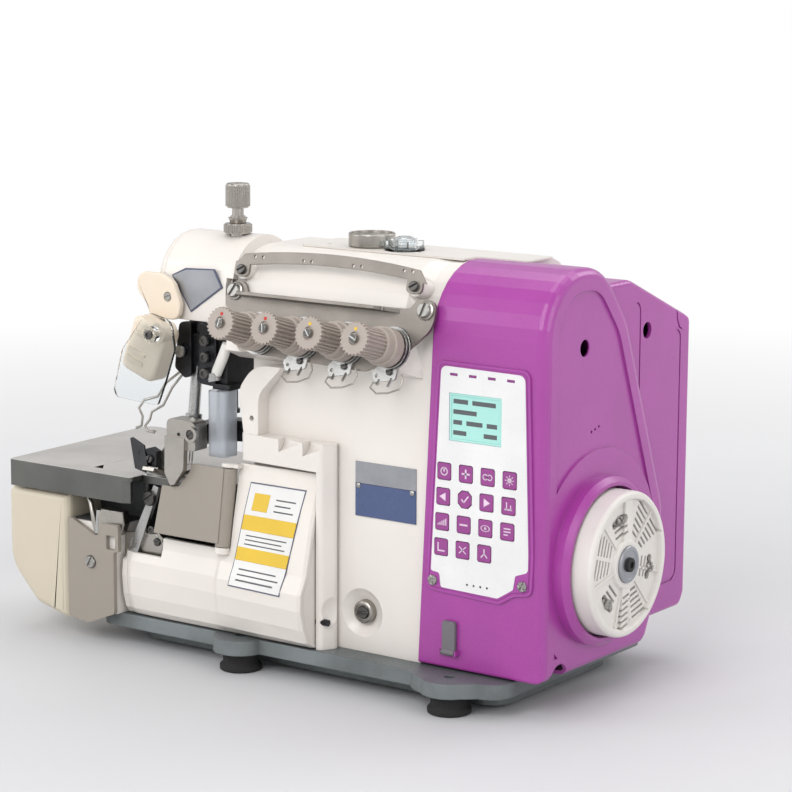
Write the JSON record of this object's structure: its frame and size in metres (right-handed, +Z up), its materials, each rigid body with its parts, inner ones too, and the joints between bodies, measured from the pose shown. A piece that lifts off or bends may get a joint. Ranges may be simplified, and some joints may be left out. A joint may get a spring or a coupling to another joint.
{
  "type": "serger overlock machine head",
  "caption": "Overlock sewing machine head with a cream casting, violet control housing, handwheel, tension knobs, open looper area and swing-out cloth plate.",
  "frame": {"origin": "middle of the four cushion bolts, on the plane on which the cushions stand", "axes": "+X to the right along the arm, towards the handwheel; +Y from the operator to the back; +Z up"},
  "size_m": [0.415, 0.228, 0.294],
  "materials": {
    "casting_cream": "cream enamel, satin",
    "cover_cream": "cream enamel, satin",
    "left_cover_cream": "moulded, satin",
    "beige_paint": "beige enamel, satin",
    "base_iron": "grey casting, rough",
    "cushion_rubber": "matt",
    "purple_plastic": "fine-grained satin",
    "panel_white": "satin film",
    "lcd_glass": "gloss",
    "key_violet": "satin film",
    "steel_bright": "ground",
    "steel_plate": "ground, satin",
    "nickel": "satin nickel",
    "black_oxide": "blackened, oiled",
    "guide_grey": "grey enamel, satin",
    "knob_tan": "moulded, satin",
    "wheel_ivory": "moulded, satin",
    "motor_grey": "cast, satin",
    "lamp_ivory": "moulded, satin",
    "clear_plastic": "clear",
    "frosted_plastic": "frosted",
    "flap_grey": "satin"
  },
  "bodies": {
    "machine": {"base_plate": "base_iron", "rubber_cushions": "cushion_rubber", "body_casting": "casting_cream", "face_cover": "cover_cream", "arm_top_cover": "cover_cream", "oil_sight_dome": "clear_plastic", "tension_plate": "guide_grey", "tension_posts": "steel_bright", "upper_thread_guide": "guide_grey", "hinge_pins": "black_oxide", "left_cover": "left_cover_cream", "side_plate": "beige_paint", "needle_plate": "steel_plate", "lower_knife": "steel_bright", "head_bracket": "black_oxide", "lamp_bracket": "lamp_ivory", "lamp_housing": "lamp_ivory", "control_housing": "purple_plastic", "rear_cover": "purple_plastic", "control_panel": "panel_white", "lcd_window": "lcd_glass", "motor": "motor_grey", "thread_oil_box": "frosted_plastic"},
    "drive": {"handwheel": "wheel_ivory", "main_shaft": "steel_bright"},
    "needle_bar": {"needle_bar": "steel_bright", "needle_clamp": "steel_bright"},
    "presser": {"presser_arm": "black_oxide", "presser_foot": "nickel"},
    "cloth_plate": {"cloth_plate": "steel_plate"},
    "front_cover": {"front_cover": "cover_cream"},
    "chip_cover": {"chip_cover": "beige_paint"},
    "oil_filler_cap": {"oil_filler_cap": "nickel"},
    "pressure_screw": {"pressure_screw": "nickel"},
    "lock_nut": {"lock_nut": "nickel"},
    "eye_guard": {"eye_guard": "clear_plastic"},
    "upper_knife": {"upper_knife": "steel_bright"},
    "upper_looper": {"upper_looper": "steel_bright"},
    "lower_looper": {"lower_looper": "steel_bright"},
    "feed_dogs": {"feed_dogs": "steel_plate"},
    "usb_cover": {"usb_cover": "flap_grey"},
    "tension_knob_1": {"tension_knob_1": "knob_tan"},
    "tension_knob_2": {"tension_knob_2": "knob_tan"},
    "tension_knob_3": {"tension_knob_3": "knob_tan"},
    "tension_knob_4": {"tension_knob_4": "knob_tan"},
    "key_1_1": {"key_1_1": "key_violet"},
    "key_1_2": {"key_1_2": "key_violet"},
    "key_1_3": {"key_1_3": "key_violet"},
    "key_1_4": {"key_1_4": "key_violet"},
    "key_2_1": {"key_2_1": "key_violet"},
    "key_2_2": {"key_2_2": "key_violet"},
    "key_2_3": {"key_2_3": "key_violet"},
    "key_2_4": {"key_2_4": "key_violet"},
    "key_3_1": {"key_3_1": "key_violet"},
    "key_3_2": {"key_3_2": "key_violet"},
    "key_3_3": {"key_3_3": "key_violet"},
    "key_3_4": {"key_3_4": "key_violet"},
    "key_4_1": {"key_4_1": "key_violet"},
    "key_4_2": {"key_4_2": "key_violet"},
    "key_4_3": {"key_4_3": "key_violet"}
  },
  "joints": [
    {"name": "handwheel_spin", "type": "hinge", "parent": "machine", "child": "drive", "pos_m": [0.0475, -0.009, 0.085], "axis": [1, 0, 0], "continuous": true},
    {"name": "needle_bar_slide", "type": "slide", "parent": "machine", "child": "needle_bar", "axis": [0, 0.1219, 0.9925], "range_m": [-0.022, 0]},
    {"name": "presser_lift", "type": "hinge", "parent": "machine", "child": "presser", "pos_m": [-0.0645, -0.054, 0.145], "axis": [0, 1, 0], "range_deg": [0, 4.2]},
    {"name": "cloth_plate_swing", "type": "hinge", "parent": "machine", "child": "cloth_plate", "pos_m": [-0.2445, 0.032, 0.11], "axis": [0, 0, 1], "range_deg": [-80, 0]},
    {"name": "front_cover_open", "type": "hinge", "parent": "machine", "child": "front_cover", "pos_m": [-0.0925, -0.077, 0.038], "axis": [1, 0, 0], "range_deg": [0, 70]},
    {"name": "chip_cover_open", "type": "hinge", "parent": "front_cover", "child": "chip_cover", "pos_m": [-0.087, -0.085, 0.076], "axis": [0, 0.1392, 0.9903], "range_deg": [0, 95]},
    {"name": "tension_knob_1_turn", "type": "hinge", "parent": "machine", "child": "tension_knob_1", "pos_m": [-0.0625, -0.0861, 0.21098], "axis": [0, -0.9613, 0.2756], "range_deg": [-360, 720]},
    {"name": "tension_knob_2_turn", "type": "hinge", "parent": "machine", "child": "tension_knob_2", "pos_m": [-0.03, -0.0861, 0.21098], "axis": [0, -0.9613, 0.2756], "range_deg": [-360, 720]},
    {"name": "tension_knob_3_turn", "type": "hinge", "parent": "machine", "child": "tension_knob_3", "pos_m": [0.0025, -0.0861, 0.21098], "axis": [0, -0.9613, 0.2756], "range_deg": [-360, 720]},
    {"name": "tension_knob_4_turn", "type": "hinge", "parent": "machine", "child": "tension_knob_4", "pos_m": [0.035, -0.0861, 0.21098], "axis": [0, -0.9613, 0.2756], "range_deg": [-360, 720]},
    {"name": "pressure_screw_turn", "type": "hinge", "parent": "machine", "child": "pressure_screw", "pos_m": [-0.1055, -0.046, 0.271], "axis": [0, 0, 1], "range_deg": [-720, 720]},
    {"name": "lock_nut_turn", "type": "hinge", "parent": "machine", "child": "lock_nut", "pos_m": [-0.1055, -0.046, 0.266], "axis": [0, 0, 1], "range_deg": [-360, 360]},
    {"name": "oil_cap_turn", "type": "hinge", "parent": "machine", "child": "oil_filler_cap", "pos_m": [-0.0235, -0.019, 0.261], "axis": [0, 0, 1], "range_deg": [0, 360]},
    {"name": "eye_guard_swing", "type": "hinge", "parent": "machine", "child": "eye_guard", "pos_m": [-0.1285, -0.098, 0.205], "axis": [0, 1, 0], "range_deg": [0, 100]},
    {"name": "upper_knife_slide", "type": "slide", "parent": "machine", "child": "upper_knife", "axis": [0, 0, 1], "range_m": [-0.004, 0.003]},
    {"name": "upper_looper_swing", "type": "hinge", "parent": "machine", "child": "upper_looper", "pos_m": [-0.1585, -0.036, 0.051], "axis": [0, 1, 0], "range_deg": [-6, 6]},
    {"name": "lower_looper_swing", "type": "hinge", "parent": "machine", "child": "lower_looper", "pos_m": [-0.1025, -0.036, 0.047], "axis": [0, 1, 0], "range_deg": [-6, 6]},
    {"name": "feed_slide", "type": "slide", "parent": "machine", "child": "feed_dogs", "axis": [0, 1, 0], "range_m": [-0.002, 0.002]},
    {"name": "usb_cover_open", "type": "hinge", "parent": "machine", "child": "usb_cover", "pos_m": [0.0705, -0.0712, 0.0323], "axis": [1, 0, 0], "range_deg": [0, 110]},
    {"name": "key_1_1_press", "type": "slide", "parent": "machine", "child": "key_1_1", "axis": [0, 1, 0], "range_m": [0, 0.0005], "stiffness_N_per_m": 200},
    {"name": "key_1_2_press", "type": "slide", "parent": "machine", "child": "key_1_2", "axis": [0, 1, 0], "range_m": [0, 0.0005], "stiffness_N_per_m": 200},
    {"name": "key_1_3_press", "type": "slide", "parent": "machine", "child": "key_1_3", "axis": [0, 1, 0], "range_m": [0, 0.0005], "stiffness_N_per_m": 200},
    {"name": "key_1_4_press", "type": "slide", "parent": "machine", "child": "key_1_4", "axis": [0, 1, 0], "range_m": [0, 0.0005], "stiffness_N_per_m": 200},
    {"name": "key_2_1_press", "type": "slide", "parent": "machine", "child": "key_2_1", "axis": [0, 1, 0], "range_m": [0, 0.0005], "stiffness_N_per_m": 200},
    {"name": "key_2_2_press", "type": "slide", "parent": "machine", "child": "key_2_2", "axis": [0, 1, 0], "range_m": [0, 0.0005], "stiffness_N_per_m": 200},
    {"name": "key_2_3_press", "type": "slide", "parent": "machine", "child": "key_2_3", "axis": [0, 1, 0], "range_m": [0, 0.0005], "stiffness_N_per_m": 200},
    {"name": "key_2_4_press", "type": "slide", "parent": "machine", "child": "key_2_4", "axis": [0, 1, 0], "range_m": [0, 0.0005], "stiffness_N_per_m": 200},
    {"name": "key_3_1_press", "type": "slide", "parent": "machine", "child": "key_3_1", "axis": [0, 1, 0], "range_m": [0, 0.0005], "stiffness_N_per_m": 200},
    {"name": "key_3_2_press", "type": "slide", "parent": "machine", "child": "key_3_2", "axis": [0, 1, 0], "range_m": [0, 0.0005], "stiffness_N_per_m": 200},
    {"name": "key_3_3_press", "type": "slide", "parent": "machine", "child": "key_3_3", "axis": [0, 1, 0], "range_m": [0, 0.0005], "stiffness_N_per_m": 200},
    {"name": "key_3_4_press", "type": "slide", "parent": "machine", "child": "key_3_4", "axis": [0, 1, 0], "range_m": [0, 0.0005], "stiffness_N_per_m": 200},
    {"name": "key_4_1_press", "type": "slide", "parent": "machine", "child": "key_4_1", "axis": [0, 1, 0], "range_m": [0, 0.0005], "stiffness_N_per_m": 200},
    {"name": "key_4_2_press", "type": "slide", "parent": "machine", "child": "key_4_2", "axis": [0, 1, 0], "range_m": [0, 0.0005], "stiffness_N_per_m": 200},
    {"name": "key_4_3_press", "type": "slide", "parent": "machine", "child": "key_4_3", "axis": [0, 1, 0], "range_m": [0, 0.0005], "stiffness_N_per_m": 200}
  ]
}
